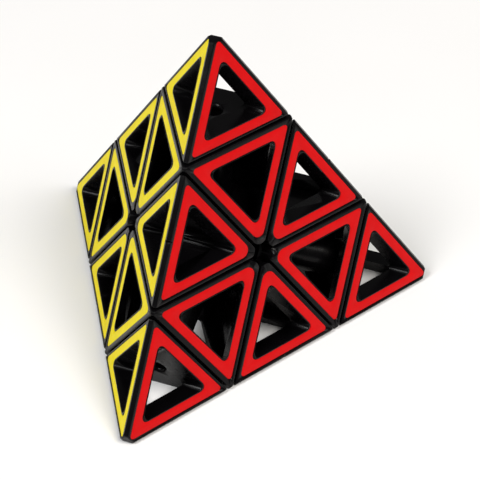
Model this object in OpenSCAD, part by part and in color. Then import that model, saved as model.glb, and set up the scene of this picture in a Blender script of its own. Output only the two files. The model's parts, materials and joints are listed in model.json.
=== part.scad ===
// Pyramid twisty puzzle with hollow windowed pieces.
// The origin is where the four turning axes meet, and +Z points at the top corner.
// The pyramid rests on one face, and the front face looks towards -Y.

/* [Pyramid] */
// Length of an edge of the sharp pyramid, before its edges are chamfered
edge_len = 102; // [96:1:110]
// Width of the flat chamfer along every edge of the pyramid
chamfer_w = 1.1; // [1:0.1:2.6]
// Height cut off each corner of the sharp pyramid
corner_cut = 3.7; // [2.8:0.1:5]
// Gap between neighbouring pieces
gap = 0.5; // [0.4:0.05:0.7]

/* [Shells] */
// How far the cut under each tip lies nearer the corner than a third of the edge
tip_raise = 0.3; // [0:0.05:0.5]
// Thickness of the faces of a centre piece, and of the rim round a tip's plug
wall = 3; // [2.4:0.1:3.4]
// Thickness of the inner walls of the centre and edge pieces
inner_wall = 1.5; // [1.2:0.1:1.8]
// Radius of the hole in the floor of a tip
floor_hole_r = 2; // [1.8:0.1:2.3]
// Radius of the plastic corners that meet at the middle of a face
centre_corner_r = 2.3; // [1.5:0.1:3]
// Width of the seam between the two halves of an edge piece
seam = 0.06; // [0.04:0.01:0.1]
// Width of the notch where the seam meets the outer edge
notch_w = 0.8; // [0.4:0.1:1.2]

/* [Stickers] */
// Mean distance from the border of a tip facelet to its sticker
tip_margin = 1.65; // [1.5:0.05:1.9]
// Mean distance from the border of an edge facelet to its sticker
edge_margin = 1.6; // [1.5:0.05:1.9]
// Mean distance from the border of a centre facelet to its sticker
centre_margin = 1.25; // [1.2:0.05:1.6]
// How far a tip sticker is slid towards the middle of the face
tip_slide = 0.15; // [0:0.05:0.2]
// How far an edge sticker is slid towards the middle of the face
edge_slide = 0.25; // [0:0.05:0.3]
// How far a centre sticker is slid away from the middle of the face
centre_slide = 0.1; // [0:0.05:0.2]
// Width of the sticker band
sticker_band = 2.3; // [1.8:0.1:2.6]
// Width of the plastic lip between the sticker and the window
window_lip = 0.3; // [0.2:0.05:0.6]
// Thickness of a sticker
sticker_t = 0.2; // [0.1:0.05:0.3]
// Depth of the recess that the sticker lies in
recess_t = 0.25; // [0.15:0.05:0.4]

/* [Mechanism] */
// Radius of the axle screws
screw_r = 1.2; // [1:0.1:1.4]
// Radial running clearance of pivots and screws
run_clear = 0.05; // [0.02:0.01:0.1]
// Outer radius of the hollow stub that a tip turns on
stub_r = 3.45; // [3.2:0.05:3.6]
// Length of that stub
stub_len = 6; // [5:0.5:7]
// Radius of the hole through the stub
stub_hole_r = 2.4; // [2:0.1:2.6]
// Outer radius of the column in a centre piece
column_r = 4.8; // [4.6:0.1:5.4]
// Number of turns of a spring
spring_turns = 5; // [4:1:6]

/* [Hidden] */
$fn = 64;

// Angles of a regular tetrahedron
axis_to_axis = acos(-1 / 3);
axis_to_face = acos(1 / 3);
axis_to_edge = axis_to_axis / 2;

// Distances from the origin
corner_h = edge_len * sqrt(6) / 4;
face_h = corner_h / 3;
layer_h = face_h / 3;
tip_h = 5 * layer_h + tip_raise;
edge_h = edge_len / sqrt(8);
chamfer_h = edge_h - chamfer_w / sqrt(2);

// The nine facelets of a face are triangles of this inscribed radius
facelet_in = edge_len / 3 * sqrt(3) / 6;
recess_clear = 0.06;
corner_r = 0.85;
face_centre_r = 2.1;
window_r = 1.35;

// How far inside each plane the pockets of the hollow pieces begin
window_edge = sticker_band + window_lip;
floor_h = 5 * layer_h + (tip_margin - tip_slide + window_edge) * sin(axis_to_face);
pocket_from_face = (edge_margin + edge_slide + window_edge) * sin(axis_to_face);
pocket_from_cut = (edge_margin - edge_slide / 2 + window_edge) * sin(axis_to_face);
pocket_draft = tan(90 - axis_to_face);

// Cut planes of the pieces, half a gap from the layer planes
layer_up = layer_h + gap / 2;
layer_down = layer_h - gap / 2;
tip_up = tip_h + gap / 2;
tip_down = tip_h - gap / 2;

// The mechanism lies in nested spheres: feet, skirts, flanges, and the domes over them
skirt_out = layer_h * sqrt(3);
skirt_in = skirt_out - 2.1;
foot_out = skirt_in - 0.4;
foot_in = foot_out - 2;
flange_in = skirt_out + 0.25;
flange_out = flange_in + 0.95;
dome_in = flange_out + 0.3;
dome_out = dome_in + 1.4;
skirt_angle = 45.5;
stem_angle = 37;
foot_angle = 71;
foot_w = 4.4;
neck_r = 1.3;
core_r = foot_in - 0.7;
arm_r = 2.3;
arm_h = skirt_in - 0.4;
arm_bore_start = 2.2;

// Heights along an axle
spring_seat = skirt_out + 1;
spring_r = 2.3;
spring_wire = 0.3;
spring_pitch = 1.35;
washer_h = spring_seat + spring_turns * spring_pitch + 2 * spring_wire + 0.1;
washer_t = 0.6;
washer_r = 2.9;
head_h = washer_h + washer_t + 0.05;
head_t = 2;
head_r = 2.6;
plug_t = 1.8;
rib_r = 0.3;
far = 200;

// Unit vectors to the four corners
top = [0, 0, 1];
left = [-sqrt(2 / 3), -sqrt(2) / 3, -1 / 3];
right = [sqrt(2 / 3), -sqrt(2) / 3, -1 / 3];
back = [0, sqrt(8) / 3, -1 / 3];

// Each face is named by the corner opposite it
front_face = back;
left_face = right;
right_face = left;
bottom_face = top;

plastic = [0.04, 0.04, 0.045];
red = [0.92, 0.11, 0.14];
yellow = [1, 0.92, 0.16];
green = [0.05, 0.55, 0.24];
blue = [0.07, 0.27, 0.68];

function unit(v) = v / norm(v);
function across(v, n) = unit(v - (v * n) * n);

// Turn children so that +Z lies along z and +X lies as near x as it can
module aim(z, x) {
  zz = unit(z);
  xx = across(x, zz);
  yy = cross(zz, xx);
  multmatrix([for (i = [0:2]) [xx[i], yy[i], zz[i], 0]]) children();
}

// Place a corner piece, built with its corner on +Z and the other three at 0, 120 and 240 degrees
module at_corner(corner) {
  aim(corner, corner == top ? back : top) children();
}

// Place an edge piece, built with its edge along X and its middle on +Z
module at_edge(a, b) {
  aim(a + b, a - b) children();
}

// Everything nearer than distance, or further than it, in the direction given by two angles
module below(polar, azimuth, distance) {
  rotate([0, polar, azimuth]) translate([-far, -far, distance - 2 * far]) cube(2 * far);
}

module above(polar, azimuth, distance) {
  rotate([0, polar, azimuth]) translate([-far, -far, distance]) cube(2 * far);
}

// The inside of a cone about +Z from the origin
module cone(half_angle) {
  cylinder(h = 20, r1 = 0, r2 = 20 * tan(half_angle));
}

module ball_shell(inner, outer) {
  difference() {
    sphere(outer);
    sphere(inner);
  }
}

// The middle of a face becomes the origin, +X runs from it to the facelet and +Z points outwards
module on_face(polar, azimuth) {
  rotate([0, polar, azimuth]) rotate([0, 0, 180]) translate([0, 0, face_h]) children();
}

// A triangle that points along +X, with rounded corners. The first radius is that of the pointing corner
module rounded_triangle(inset, r_point, r_side) {
  arc_steps = 6;
  polygon([for (i = [0:2], k = [0:arc_steps])
    let (r = i == 0 ? r_point : r_side, centre = 2 * (facelet_in - inset - r))
    let (turn = 120 * i, round = turn - 60 + 120 * k / arc_steps)
    [centre * cos(turn) + r * cos(round), centre * sin(turn) + r * sin(round)]]);
}

function margin(kind) = kind == "tip" ? tip_margin : kind == "edge" ? edge_margin : centre_margin;
function slide(kind) = kind == "tip" ? -tip_slide : kind == "edge" ? -edge_slide : centre_slide;

// On a face, the middle of a facelet's sticker becomes the origin, with +X towards its point
module on_facelet(kind) {
  translate([(kind == "tip" ? 4 : 2) * facelet_in + slide(kind), 0])
    rotate(kind == "tip" ? 0 : 180) children();
}

// A facelet's outline, moved in by grow from the outline of its sticker
module facelet_shape(kind, grow, r_point, r_side) {
  on_facelet(kind) rounded_triangle(margin(kind) + grow, r_point, r_side);
}

// The band of a sticker, grown by clear on both sides
module band(kind, clear) {
  difference() {
    facelet_shape(kind, -clear, kind == "tip" ? corner_r : face_centre_r, corner_r);
    facelet_shape(kind, sticker_band + clear, window_r, window_r);
  }
}

// A window that runs inwards to a depth, with sides parallel to the pyramid's other planes.
// Those of a tip or an edge piece close in, and those of a centre piece open out
module window(kind, depth) {
  inset = margin(kind) + window_edge;
  change = pocket_draft * depth / (facelet_in - inset);
  on_facelet(kind) {
    rotate([180, 0, 0]) linear_extrude(depth, scale = kind == "centre" ? 1 + change : 1 - change)
      rounded_triangle(inset, window_r, window_r);
    translate([0, 0, -0.01]) linear_extrude(1) rounded_triangle(inset, window_r, window_r);
  }
}

// The recess that a sticker lies in
module recess(kind) {
  translate([0, 0, -recess_t]) linear_extrude(1) band(kind, recess_clear);
}

// What rounds off the plastic corner at the middle of a face
module corner_round() {
  centre_x = 2 * (centre_corner_r + gap / 2);
  translate([0, 0, -wall - 1]) linear_extrude(wall + 2) difference() {
    translate([-2, -4]) square([centre_x - centre_corner_r / 2 + 2, 8]);
    translate([centre_x, 0]) circle(centre_corner_r, $fn = 24);
  }
}

// The pyramid near a corner, with its faces moved in by inset
module corner_faces(inset) {
  intersection_for (a = [60, 180, 300]) below(axis_to_face, a, face_h - inset);
}

module corner_chamfers() {
  intersection_for (a = [0, 120, 240]) below(axis_to_edge, a, chamfer_h);
}

// A tip is hollowed by its three windows, down to a floor with a hole over a pocket for the plug
module tip_shell(corner) {
  color(plastic) at_corner(corner) difference() {
    intersection() {
      corner_faces(0);
      corner_chamfers();
      above(0, 0, tip_up);
      below(0, 0, corner_h - corner_cut);
    }
    intersection() {
      corner_faces(wall);
      above(0, 0, tip_h - 1);
      below(0, 0, tip_up + plug_t + run_clear);
    }
    translate([0, 0, tip_up]) cylinder(h = 2 * plug_t + 1, r = floor_hole_r);
    translate([0, 0, floor_h - 0.6]) cylinder(h = 1, r1 = floor_hole_r, r2 = floor_hole_r + 1);
    for (a = [60, 180, 300]) on_face(axis_to_face, a) {
      window("tip", 12);
      recess("tip");
    }
  }
}

// The plate that closes a tip, with the hollow stub that snaps into the centre piece
module tip_plug(corner) {
  rib_h = tip_down - stub_len + 1.2;
  color(plastic) at_corner(corner) difference() {
    union() {
      intersection() {
        corner_faces(wall + run_clear);
        above(0, 0, tip_up);
        below(0, 0, tip_up + plug_t);
      }
      translate([0, 0, tip_down - stub_len]) cylinder(h = stub_len + gap + 1, r = stub_r);
      translate([0, 0, rib_h]) cylinder(h = 0.8, r1 = stub_r, r2 = stub_r + rib_r);
    }
    translate([0, 0, tip_down - stub_len - 1]) cylinder(h = stub_len + 10, r = stub_hole_r);
  }
}

// The part of a centre piece that lies outside the mechanism, with its walls moved in
module centre_block(face_inset, wall_inset) {
  intersection() {
    corner_faces(face_inset);
    corner_chamfers();
    above(0, 0, layer_up + wall_inset);
    below(0, 0, tip_down - wall_inset);
    intersection_for (a = [0, 120, 240]) below(axis_to_axis, a, layer_down - wall_inset);
  }
}

module centre_piece(corner) {
  groove_h = tip_down - stub_len + 0.9;
  color(plastic) at_corner(corner) difference() {
    union() {
      difference() {
        union() {
          difference() {
            centre_block(0, 0);
            centre_block(wall, inner_wall);
          }
          intersection() {
            centre_block(0, 0);
            sphere(dome_out);
          }
          translate([0, 0, layer_up]) cylinder(h = tip_down - layer_up, r = column_r);
        }
        sphere(dome_in);
        for (a = [60, 180, 300]) on_face(axis_to_face, a) {
          window("centre", wall + 0.3);
          recess("centre");
          corner_round();
        }
      }
      intersection() {
        ball_shell(skirt_in, skirt_out);
        cone(skirt_angle);
      }
      intersection() {
        ball_shell(skirt_out - 0.5, dome_in + 0.5);
        cone(stem_angle);
      }
    }
    cylinder(h = far, r = screw_r + run_clear);
    translate([0, 0, spring_seat]) cylinder(h = far, r = stub_r + run_clear);
    translate([0, 0, groove_h]) cylinder(h = 1.4, r = stub_r + rib_r + run_clear);
  }
}

// A plate of the mechanism on an edge piece, between two spheres and inside the reach of both axes
module edge_plate(inner, outer) {
  intersection() {
    ball_shell(inner, outer);
    intersection_for (a = [0, 180]) above(axis_to_edge, a, outer * cos(foot_angle));
    translate([0, 0, far / 2]) cube([far, foot_w, far], center = true);
  }
}

// The part of an edge piece that lies outside the mechanism
module edge_block() {
  intersection() {
    intersection_for (a = [-90, 90]) below(axis_to_edge, a, face_h);
    intersection_for (a = [0, 180]) above(axis_to_edge, a, layer_up);
    below(0, 0, chamfer_h);
  }
}

// The pocket over one of the two inner walls of an edge piece
module edge_pocket(azimuth) {
  intersection() {
    intersection_for (a = [-90, 90]) below(axis_to_edge, a, face_h - pocket_from_face);
    above(axis_to_edge, azimuth, layer_up + inner_wall);
    above(axis_to_edge, azimuth + 180, layer_h + pocket_from_cut);
  }
}

module edge_piece(a, b) {
  color(plastic) at_edge(a, b) difference() {
    union() {
      difference() {
        edge_block();
        for (azimuth = [0, 180]) edge_pocket(azimuth);
        for (azimuth = [-90, 90]) on_face(axis_to_edge, azimuth) {
          window("edge", 12);
          recess("edge");
          corner_round();
        }
      }
      edge_plate(foot_in, foot_out);
      edge_plate(flange_in, flange_out);
      translate([0, 0, foot_in + 1]) cylinder(h = flange_in + 0.5 - foot_in - 1, r = neck_r);
    }
    cube([seam, far, far], center = true);
    translate([0, 0, chamfer_h]) rotate([0, 45, 0])
      cube([notch_w / sqrt(2), far, notch_w / sqrt(2)], center = true);
  }
}

module core_spider() {
  color([0.12, 0.12, 0.13]) difference() {
    union() {
      sphere(core_r);
      for (c = [top, left, right, back]) at_corner(c)
        translate([0, 0, core_r / 2]) cylinder(h = arm_h - core_r / 2, r = arm_r);
    }
    for (c = [top, left, right, back]) at_corner(c)
      translate([0, 0, arm_bore_start]) cylinder(h = arm_h, r = screw_r + run_clear);
  }
}

module axle_screws() {
  color("silver") for (c = [top, left, right, back]) at_corner(c) difference() {
    union() {
      translate([0, 0, arm_bore_start + 0.3]) cylinder(h = head_h - arm_bore_start, r = screw_r);
      translate([0, 0, head_h]) cylinder(h = head_t, r = head_r);
    }
    for (turn = [0, 90]) translate([0, 0, head_h + head_t]) rotate([0, 0, turn])
      cube([3, 0.7, 2], center = true);
  }
}

// A round wire swept along a helix
module coil_spring() {
  sides = 6;
  steps = 10 * spring_turns;
  points = [for (i = [0:steps], j = [0:sides - 1])
    let (turn = 360 * spring_turns * i / steps, round = 360 * j / sides)
    let (r = spring_r + spring_wire * cos(round))
    [r * cos(turn), r * sin(turn), spring_pitch * spring_turns * i / steps + spring_wire * sin(round)]];
  sheath = [for (i = [0:steps - 1], j = [0:sides - 1])
    [i * sides + j, (i + 1) * sides + j, (i + 1) * sides + (j + 1) % sides, i * sides + (j + 1) % sides]];
  first = [[for (j = [0:sides - 1]) j]];
  last = [[for (j = [0:sides - 1]) steps * sides + sides - 1 - j]];
  polyhedron(points, concat(sheath, first, last));
}

module axle_springs() {
  color("gray") for (c = [top, left, right, back]) at_corner(c)
    translate([0, 0, spring_seat + spring_wire + 0.05]) coil_spring();
}

module axle_washers() {
  color("silver") for (c = [top, left, right, back]) at_corner(c)
    translate([0, 0, washer_h]) difference() {
      cylinder(h = washer_t, r = washer_r);
      translate([0, 0, -1]) cylinder(h = washer_t + 2, r = screw_r + run_clear);
    }
}

// The sticker on the facelet of a piece. The direction of the piece picks the facelet
module sticker(paint, face, piece, kind) {
  color(paint) aim(-face, across(piece, face)) translate([0, 0, face_h - recess_t])
    linear_extrude(sticker_t) band(kind, 0);
}

module tip_sticker(paint, face, corner) {
  sticker(paint, face, corner, "tip");
}

module centre_sticker(paint, face, corner) {
  sticker(paint, face, corner, "centre");
}

module edge_sticker(paint, face, a, b) {
  sticker(paint, face, a + b, "edge");
}

core_spider();
axle_screws();
axle_springs();
axle_washers();
centre_piece(top);  // centre_top
centre_piece(left);  // centre_left
centre_piece(right);  // centre_right
centre_piece(back);  // centre_back
tip_shell(top);  // tip_shell_top
tip_shell(left);  // tip_shell_left
tip_shell(right);  // tip_shell_right
tip_shell(back);  // tip_shell_back
tip_plug(top);  // tip_plug_top
tip_plug(left);  // tip_plug_left
tip_plug(right);  // tip_plug_right
tip_plug(back);  // tip_plug_back
edge_piece(top, left);  // edge_top_left
edge_piece(top, right);  // edge_top_right
edge_piece(top, back);  // edge_top_back
edge_piece(left, right);  // edge_left_right
edge_piece(right, back);  // edge_right_back
edge_piece(back, left);  // edge_back_left
tip_sticker(red, front_face, top);  // sticker_red_tip_top
tip_sticker(red, front_face, left);  // sticker_red_tip_left
tip_sticker(red, front_face, right);  // sticker_red_tip_right
centre_sticker(red, front_face, top);  // sticker_red_centre_top
centre_sticker(red, front_face, left);  // sticker_red_centre_left
centre_sticker(red, front_face, right);  // sticker_red_centre_right
edge_sticker(red, front_face, top, left);  // sticker_red_edge_top_left
edge_sticker(red, front_face, top, right);  // sticker_red_edge_top_right
edge_sticker(red, front_face, left, right);  // sticker_red_edge_left_right
tip_sticker(yellow, left_face, top);  // sticker_yellow_tip_top
tip_sticker(yellow, left_face, left);  // sticker_yellow_tip_left
tip_sticker(yellow, left_face, back);  // sticker_yellow_tip_back
centre_sticker(yellow, left_face, top);  // sticker_yellow_centre_top
centre_sticker(yellow, left_face, left);  // sticker_yellow_centre_left
centre_sticker(yellow, left_face, back);  // sticker_yellow_centre_back
edge_sticker(yellow, left_face, top, left);  // sticker_yellow_edge_top_left
edge_sticker(yellow, left_face, top, back);  // sticker_yellow_edge_top_back
edge_sticker(yellow, left_face, back, left);  // sticker_yellow_edge_back_left
tip_sticker(green, right_face, top);  // sticker_green_tip_top
tip_sticker(green, right_face, right);  // sticker_green_tip_right
tip_sticker(green, right_face, back);  // sticker_green_tip_back
centre_sticker(green, right_face, top);  // sticker_green_centre_top
centre_sticker(green, right_face, right);  // sticker_green_centre_right
centre_sticker(green, right_face, back);  // sticker_green_centre_back
edge_sticker(green, right_face, top, right);  // sticker_green_edge_top_right
edge_sticker(green, right_face, top, back);  // sticker_green_edge_top_back
edge_sticker(green, right_face, right, back);  // sticker_green_edge_right_back
tip_sticker(blue, bottom_face, left);  // sticker_blue_tip_left
tip_sticker(blue, bottom_face, right);  // sticker_blue_tip_right
tip_sticker(blue, bottom_face, back);  // sticker_blue_tip_back
centre_sticker(blue, bottom_face, left);  // sticker_blue_centre_left
centre_sticker(blue, bottom_face, right);  // sticker_blue_centre_right
centre_sticker(blue, bottom_face, back);  // sticker_blue_centre_back
edge_sticker(blue, bottom_face, left, right);  // sticker_blue_edge_left_right
edge_sticker(blue, bottom_face, right, back);  // sticker_blue_edge_right_back
edge_sticker(blue, bottom_face, back, left);  // sticker_blue_edge_back_left
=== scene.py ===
"""A pyramid twisty puzzle with hollow windowed pieces, dressed in its finished surfaces.

The origin is where the four turning axes meet, +Z points at the top corner, and the
pyramid rests on its bottom face.
"""

import json
import math

import bmesh
import bpy
from mathutils import Matrix, Vector

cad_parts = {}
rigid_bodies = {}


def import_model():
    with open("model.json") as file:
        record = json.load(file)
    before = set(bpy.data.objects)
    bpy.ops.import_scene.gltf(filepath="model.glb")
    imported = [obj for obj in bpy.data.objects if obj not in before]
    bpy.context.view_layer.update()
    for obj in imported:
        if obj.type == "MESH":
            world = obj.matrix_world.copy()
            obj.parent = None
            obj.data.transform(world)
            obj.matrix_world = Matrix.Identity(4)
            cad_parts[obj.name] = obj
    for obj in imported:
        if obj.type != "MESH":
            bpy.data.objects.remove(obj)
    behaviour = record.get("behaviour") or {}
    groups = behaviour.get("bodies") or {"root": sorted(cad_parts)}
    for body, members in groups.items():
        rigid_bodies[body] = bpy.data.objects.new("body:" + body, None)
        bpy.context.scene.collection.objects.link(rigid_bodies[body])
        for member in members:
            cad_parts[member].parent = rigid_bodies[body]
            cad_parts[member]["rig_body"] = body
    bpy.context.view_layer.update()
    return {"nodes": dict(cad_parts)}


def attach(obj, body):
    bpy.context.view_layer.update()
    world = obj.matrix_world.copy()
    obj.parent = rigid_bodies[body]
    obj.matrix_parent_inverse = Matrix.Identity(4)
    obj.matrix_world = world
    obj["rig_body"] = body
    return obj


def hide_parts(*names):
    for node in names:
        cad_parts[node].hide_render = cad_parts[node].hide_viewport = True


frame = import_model()
nodes = frame["nodes"]
MM = 0.001

# The pyramid, in millimetres, as the frame has it
EDGE = 102.0
FACE_H = EDGE * math.sqrt(6) / 12  # from the middle to a face
LAYER_H = FACE_H / 3  # from the middle to the cut under a layer
TIP_H = 5 * LAYER_H + 0.3  # from the middle to the cut under a tip
GAP = 0.5  # between two pieces
CHAMFER_W = 1.1
CORNER_CUT = 3.7
FACELET_IN = EDGE / 3 * math.sqrt(3) / 6  # from a facelet's middle to its sides

# How the pieces are rounded, in millimetres
SEAM_R = 0.4
RIDGE_R = 0.2
CORNER_ROUND = 0.7
ROUND_STEPS = 4
NEARLY_PARALLEL = 0.95  # planes whose directions agree or oppose this much share no edge
MERGE_DISTANCE = 0.001
SHARP_ANGLE = math.radians(38)  # edges that turn by less are shaded smooth

# The stickers, in millimetres: for each kind the mean distance from the facelet's border, and
# how far it is slid from the facelet's middle, away from the middle of the face
STICKERS = {"tip": (1.65, -0.15), "edge": (1.6, -0.25), "centre": (1.25, 0.1)}
STICKER_BAND = 2.3
STICKER_T = 0.2
STICKER_SUNK = 0.05
STICKER_EASE = 0.07
CORNER_R = 0.85
FACE_CENTRE_R = 2.1
WINDOW_R = 1.35

CORNERS = {
    "top": Vector((0, 0, 1)),
    "left": Vector((-math.sqrt(2 / 3), -math.sqrt(2) / 3, -1 / 3)),
    "right": Vector((math.sqrt(2 / 3), -math.sqrt(2) / 3, -1 / 3)),
    "back": Vector((0, math.sqrt(8) / 3, -1 / 3)),
}
# Each face is named for its colour and lies opposite one corner
FACES = {"red": "back", "yellow": "right", "green": "left", "blue": "top"}


# ---------------------------------------------------------------- materials

def linear(hex_colour):
    """An sRGB hex colour as linear red, green, blue and alpha."""
    parts = [int(hex_colour[i:i + 2], 16) / 255 for i in (1, 3, 5)]
    return [c / 12.92 if c <= 0.04045 else ((c + 0.055) / 1.055) ** 2.4 for c in parts] + [1.0]


def add_node(tree, kind, inputs=None, links=None, stops=()):
    """One shader node, with its fixed inputs, the sockets that feed it and its ramp's stops."""
    node = tree.nodes.new(kind)
    for name, value in (inputs or {}).items():
        node.inputs[name].default_value = value
    for name, socket in (links or {}).items():
        tree.links.new(socket, node.inputs[name])
    if stops:
        for element, (position, value) in zip(node.color_ramp.elements, stops):
            element.position = position
            element.color = linear(value) if isinstance(value, str) else [value] * 3 + [1.0]
    return node


def new_material(name, shader_inputs):
    """A material with its own surface shader, and object coordinates in metres."""
    material = bpy.data.materials.new(name)
    material.use_nodes = True
    tree = material.node_tree
    tree.nodes.clear()
    shader = add_node(tree, "ShaderNodeBsdfPrincipled", inputs=shader_inputs)
    add_node(tree, "ShaderNodeOutputMaterial", links={"Surface": shader.outputs["BSDF"]})
    place = add_node(tree, "ShaderNodeTexCoord").outputs["Object"]
    return material, tree, shader, place


def mottle(tree, place, socket, size_mm, detail, stops, roughness=0.5):
    """Lets a shader's socket drift between two values, in soft blotches about size_mm across."""
    blotches = add_node(tree, "ShaderNodeTexNoise", inputs={
        "Scale": 1 / (size_mm * MM), "Detail": detail, "Roughness": roughness},
        links={"Vector": place})
    drift = add_node(tree, "ShaderNodeValToRGB", links={"Fac": blotches.outputs["Fac"]},
                     stops=stops)
    tree.links.new(drift.outputs["Color"], socket)


def relief(tree, place, shader, size_mm, detail, depth_mm):
    """Raises and lowers a surface by up to depth_mm, in grains about size_mm across."""
    grains = add_node(tree, "ShaderNodeTexNoise", inputs={
        "Scale": 1 / (size_mm * MM), "Detail": detail, "Roughness": 0.5},
        links={"Vector": place})
    raised = add_node(tree, "ShaderNodeBump", inputs={"Strength": 1.0, "Distance": depth_mm * MM},
                      links={"Height": grains.outputs["Fac"]})
    tree.links.new(raised.outputs["Normal"], shader.inputs["Normal"])


def moulded_abs(name, dark, light, rough_low, rough_high, grain_mm, depth_mm):
    """Injection-moulded ABS: a deep even colour with a soft sheen, faintly uneven where the
    tool was polished and where it has been handled."""
    material, tree, shader, place = new_material(
        name, {"IOR": 1.53, "Specular IOR Level": 0.12, "Metallic": 0.0})
    mottle(tree, place, shader.inputs["Base Color"], 9.0, 3.0, [(0.35, dark), (0.7, light)])
    mottle(tree, place, shader.inputs["Roughness"], 3.0, 4.0,
           [(0.3, rough_low), (0.75, rough_high)], roughness=0.6)
    relief(tree, place, shader, grain_mm, 2.0, depth_mm)
    return material


def cut_vinyl(name, dark, light):
    """Die-cut vinyl sticker film: a strong flat colour with a satin face, and the slightly
    pebbled surface of soft film pressed onto plastic."""
    material, tree, shader, place = new_material(
        name, {"IOR": 1.5, "Specular IOR Level": 0.12, "Metallic": 0.0})
    mottle(tree, place, shader.inputs["Base Color"], 4.0, 4.0, [(0.3, dark), (0.7, light)],
           roughness=0.6)
    mottle(tree, place, shader.inputs["Roughness"], 1.5, 3.0, [(0.3, 0.42), (0.7, 0.55)])
    relief(tree, place, shader, 0.9, 2.0, 0.01)
    return material


def steel(name, dark, light, rough_low, rough_high, grain_mm, depth_mm):
    """Zinc-plated or drawn steel: grey metal with fine marks and dulled patches. The marks are
    coarser than the real ones, which would not show."""
    material, tree, shader, place = new_material(name, {"Metallic": 1.0})
    mottle(tree, place, shader.inputs["Base Color"], 1.2, 3.0, [(0.3, dark), (0.7, light)])
    mottle(tree, place, shader.inputs["Roughness"], 0.6, 3.0,
           [(0.3, rough_low), (0.7, rough_high)])
    relief(tree, place, shader, grain_mm, 3.0, depth_mm)
    return material


BLACK_ABS = moulded_abs("black_abs_moulded", "#050405", "#09080a", 0.2, 0.32, 0.8, 0.006)
CORE_ABS = moulded_abs("core_abs_moulded", "#1b1a1c", "#262528", 0.4, 0.55, 0.6, 0.01)
VINYL = {
    "red": cut_vinyl("red_vinyl_cut", "#cf0408", "#d8080d"),
    "yellow": cut_vinyl("yellow_vinyl_cut", "#f2dc00", "#fae604"),
    "green": cut_vinyl("green_vinyl_cut", "#0f9a48", "#16a550"),
    "blue": cut_vinyl("blue_vinyl_cut", "#1450b4", "#1a5ac0"),
}
SCREW_STEEL = steel("zinc_plated_screw_steel", "#a8aab0", "#c4c6cc", 0.25, 0.4, 0.3, 0.004)
SPRING_STEEL = steel("drawn_spring_steel", "#8c8e94", "#b0b2b8", 0.2, 0.35, 0.15, 0.003)


# ------------------------------------------------------------------- pieces

def finish_piece(bm, name, material, body, replaced):
    """Turns a bmesh into a piece that rides on a body and stands for its CAD nodes."""
    mesh = bpy.data.meshes.new(name)
    bm.to_mesh(mesh)
    bm.free()
    mesh.materials.append(material)
    mesh.shade_smooth()
    mesh.set_sharp_from_angle(angle=SHARP_ANGLE)
    piece = bpy.data.objects.new(name, mesh)
    bpy.context.scene.collection.objects.link(piece)
    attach(piece, body)
    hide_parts(*replaced)
    return piece


def outer_planes(kind, corners):
    """The planes round the outside of a tip, centre or edge piece, as direction, distance in
    millimetres and the radius that its edges have there."""
    planes = []
    for name, corner in CORNERS.items():
        if kind != "edge" and name == corners[0]:
            low, high = (TIP_H, None) if kind == "tip" else (LAYER_H, TIP_H)
            planes.append((-corner, -(low + GAP / 2), SEAM_R))
            if high:
                planes.append((corner, high - GAP / 2, SEAM_R))
            else:
                planes.append((corner, 3 * FACE_H - CORNER_CUT, CORNER_ROUND))
        elif kind == "edge" and name in corners:
            planes.append((-corner, -(LAYER_H + GAP / 2), SEAM_R))
        else:
            planes.append((-corner, FACE_H, RIDGE_R))
            if kind == "centre":
                planes.append((corner, LAYER_H - GAP / 2, SEAM_R))
    pairs = [corners] if kind == "edge" else [(corners[0], c) for c in CORNERS if c != corners[0]]
    for one, two in pairs:
        out = (CORNERS[one] + CORNERS[two]).normalized()
        planes.append((out, EDGE / math.sqrt(8) - CHAMFER_W / math.sqrt(2), RIDGE_R))
    return planes


def cut_away(bm, out, distance):
    """Cuts off what lies beyond a plane and closes the cut."""
    cut = bmesh.ops.bisect_plane(bm, geom=bm.verts[:] + bm.edges[:] + bm.faces[:],
                                 dist=0.0001 * MM, plane_co=out * distance, plane_no=out,
                                 clear_outer=True)
    rim = [g for g in cut["geom_cut"] if isinstance(g, bmesh.types.BMEdge) and g.is_boundary]
    if rim:
        bmesh.ops.holes_fill(bm, edges=rim, sides=0)


def round_outside(bm, planes):
    """Rounds the edges where two of the outer planes meet, with cuts that touch the round."""
    for i, (out_a, far_a, r_a) in enumerate(planes):
        for out_b, far_b, r_b in planes[i + 1:]:
            radius = max(r_a, r_b)
            dot = out_a.dot(out_b)
            if abs(dot) > NEARLY_PARALLEL:
                continue
            near_a, near_b = (far_a - radius) * MM, (far_b - radius) * MM
            # The round's middle line lies one radius inside both planes
            share_a = (near_a - dot * near_b) / (1 - dot * dot)
            share_b = (near_b - dot * near_a) / (1 - dot * dot)
            middle = out_a * share_a + out_b * share_b
            for step in range(1, ROUND_STEPS):
                out = out_a.slerp(out_b, step / ROUND_STEPS).normalized()
                cut_away(bm, out, out.dot(middle) + radius * MM)


def moulded_copy(node, name, material, kind, corners):
    """A merged copy of a CAD node, with the outside rounded where it names a kind of piece."""
    bm = bmesh.new()
    bm.from_mesh(nodes[node].data)
    bmesh.ops.remove_doubles(bm, verts=bm.verts, dist=MERGE_DISTANCE * MM)
    if kind:
        round_outside(bm, outer_planes(kind, corners))
    piece = finish_piece(bm, name, material, nodes[node]["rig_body"], [node])
    even = piece.modifiers.new("even_shading", "WEIGHTED_NORMAL")
    even.keep_sharp = True


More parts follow.
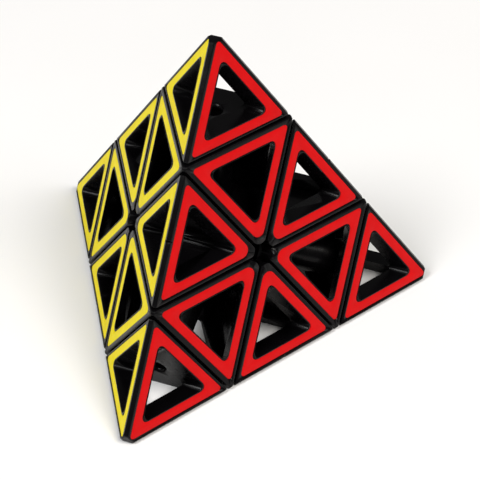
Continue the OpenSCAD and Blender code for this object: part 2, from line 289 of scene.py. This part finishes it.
def rounded_triangle(bm, inset, radii):
    """A flat triangle in the facelet's own plane, one corner on +X, with rounded corners."""
    made = bmesh.ops.create_circle(bm, cap_ends=True, segments=3,
                                   radius=2 * (FACELET_IN - inset) * MM)
    verts = made["verts"]
    turn = Matrix.Rotation(-math.atan2(verts[0].co.y, verts[0].co.x), 3, "Z")
    bmesh.ops.rotate(bm, verts=verts, matrix=turn, cent=(0, 0, 0))
    ring = []
    for vert, radius in zip(list(verts), radii):
        made = bmesh.ops.bevel(bm, geom=[vert], offset=radius * math.sqrt(3) * MM,
                               offset_type="OFFSET", segments=8, profile=0.5,
                               affect="VERTICES", material=-1, clamp_overlap=False)
        ring += made["verts"]
    return ring


def facelet_frame(face, corner, kind):
    """The middle of a facelet, with +X towards its outer point and +Z out of the pyramid."""
    out = -CORNERS[FACES[face]]
    along = (CORNERS[corner] - CORNERS[corner].dot(out) * out).normalized()
    slide = STICKERS[kind][1]
    if kind == "tip":
        middle = out * FACE_H + along * (4 * FACELET_IN + slide)
    elif kind == "centre":
        middle = out * FACE_H + along * (2 * FACELET_IN + slide)
    else:
        middle = out * FACE_H - along * (2 * FACELET_IN + slide)
    x = -along if kind == "centre" else along
    y = out.cross(x)
    turned = Matrix((x, y, out)).transposed().to_4x4()
    return Matrix.Translation(middle * MM) @ turned


def sticker(node, face, corner, kind, body):
    """A die-cut ring of film: outer and window outlines bridged, thickened, edges eased."""
    bm = bmesh.new()
    radii = [CORNER_R] * 3
    if kind != "tip":
        radii[0] = FACE_CENTRE_R
    margin = STICKERS[kind][0]
    rounded_triangle(bm, margin, radii)
    rounded_triangle(bm, margin + STICKER_BAND, [WINDOW_R] * 3)
    bmesh.ops.delete(bm, geom=list(bm.faces), context="FACES_ONLY")
    bmesh.ops.bridge_loops(bm, edges=list(bm.edges))
    bmesh.ops.recalc_face_normals(bm, faces=bm.faces)
    raised = bmesh.ops.extrude_face_region(bm, geom=list(bm.faces))
    up = [g for g in raised["geom"] if isinstance(g, bmesh.types.BMVert)]
    bmesh.ops.translate(bm, verts=up, vec=(0, 0, STICKER_T * MM))
    bmesh.ops.recalc_face_normals(bm, faces=bm.faces)
    rim = [e for e in bm.edges if e.is_manifold and e.calc_face_angle() > math.radians(60)
           and min(v.co.z for v in e.verts) > 0.5 * STICKER_T * MM]
    bmesh.ops.bevel(bm, geom=rim, offset=STICKER_EASE * MM, offset_type="OFFSET", segments=2,
                    profile=0.5, affect="EDGES", material=-1, clamp_overlap=True)
    bmesh.ops.translate(bm, verts=bm.verts, vec=(0, 0, -(STICKER_SUNK + STICKER_T) * MM))
    bmesh.ops.transform(bm, matrix=facelet_frame(face, corner, kind), verts=bm.verts)
    finish_piece(bm, "vinyl_" + node[len("sticker_"):], VINYL[face], body, [node])


def dress(name, node):
    """Gives one CAD node its finished piece or its material."""
    words = name.split("_")
    if name.startswith(("tip_shell", "centre_")):
        moulded_copy(name, name + "_moulded", BLACK_ABS, words[0], words[-1:])
    elif name.startswith("edge_"):
        moulded_copy(name, name + "_moulded", BLACK_ABS, "edge", words[1:])
    elif name.startswith("tip_plug"):
        moulded_copy(name, name + "_moulded", BLACK_ABS, None, None)
    elif name == "core_spider":
        moulded_copy(name, "core_spider_moulded", CORE_ABS, None, None)
    elif name == "axle_springs":
        node.data.materials[0] = SPRING_STEEL
    elif name in ("axle_screws", "axle_washers"):
        node.data.materials[0] = SCREW_STEEL
    else:
        face, kind, *corners = words[1:]
        if kind == "edge":
            # On each face an edge piece's facelet lies opposite the one corner it doesn't touch
            corners = [c for c in CORNERS if c not in corners and c != FACES[face]]
        sticker(name, face, corners[0], kind, node["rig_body"])


for name, node in sorted(nodes.items()):
    dress(name, node)


# ------------------------------------------------------- floor, light, camera

def new_floor():
    """A wide pale sheet of paper under the pyramid."""
    bm = bmesh.new()
    bmesh.ops.create_grid(bm, x_segments=1, y_segments=1, size=3.0)
    bmesh.ops.translate(bm, verts=bm.verts, vec=(0, 0, -FACE_H * MM))
    mesh = bpy.data.meshes.new("paper_floor")
    bm.to_mesh(mesh)
    bm.free()
    floor = bpy.data.objects.new("paper_floor", mesh)
    bpy.context.scene.collection.objects.link(floor)
    material, tree, shader, place = new_material(
        "matt_white_paper", {"Roughness": 0.9, "Specular IOR Level": 0.1})
    mottle(tree, place, shader.inputs["Base Color"], 60.0, 2.0,
           [(0.3, "#fafafa"), (0.7, "#fcfcfc")])
    mesh.materials.append(material)


def direction(azimuth, elevation):
    """The direction at some degrees round from the front, anticlockwise, and up."""
    a, e = math.radians(azimuth), math.radians(elevation)
    return Vector((math.sin(a) * math.cos(e), -math.cos(a) * math.cos(e), math.sin(e)))


def area_light(name, azimuth, elevation, distance, size, watts, colour):
    """A soft square light that looks at the middle of the pyramid."""
    data = bpy.data.lights.new(name, "AREA")
    data.size = size
    data.energy = watts
    data.color = linear(colour)[:3]
    light = bpy.data.objects.new(name, data)
    bpy.context.scene.collection.objects.link(light)
    away = direction(azimuth, elevation)
    light.location = away * distance
    light.rotation_euler = away.to_track_quat("Z", "Y").to_euler()


new_floor()
area_light("right_softbox", 16, 54, 1.7, 0.7, 18.3, "#fffaf4")
area_light("left_softbox", -95, 50, 1.7, 0.6, 16.0, "#ffffff")
area_light("top_softbox", -41, 80, 1.8, 0.9, 1.0, "#ffffff")

world = bpy.data.worlds.new("pale_room")
bpy.context.scene.world = world
world.use_nodes = True
world.node_tree.nodes["Background"].inputs["Color"].default_value = linear("#ffffff")
world.node_tree.nodes["Background"].inputs["Strength"].default_value = 0.18
bpy.context.scene.view_settings.view_transform = "Standard"


def camera_at(azimuth, elevation, roll, distance, lens, target):
    """A camera that looks at a point, in millimetres, from a direction, with its horizon rolled."""
    back = direction(azimuth, elevation)
    right = direction(azimuth + 90, 0)
    down = -back.cross(right)
    turn = math.radians(roll)
    x = math.cos(turn) * right + math.sin(turn) * down
    y = math.sin(turn) * right - math.cos(turn) * down
    data = bpy.data.cameras.new("studio_camera")
    data.sensor_width = 36
    data.lens = lens
    data.clip_start = 0.01
    camera = bpy.data.objects.new("studio_camera", data)
    bpy.context.scene.collection.objects.link(camera)
    place = Matrix((x, y, back)).transposed().to_4x4()
    camera.matrix_world = Matrix.Translation(Vector(target) * MM + back * distance * MM) @ place
    bpy.context.scene.camera = camera


camera_at(azimuth=-40.866, elevation=40.128, roll=-1.566, distance=500.07, lens=151.01,
          target=(5.38, -4.64, -1.48))
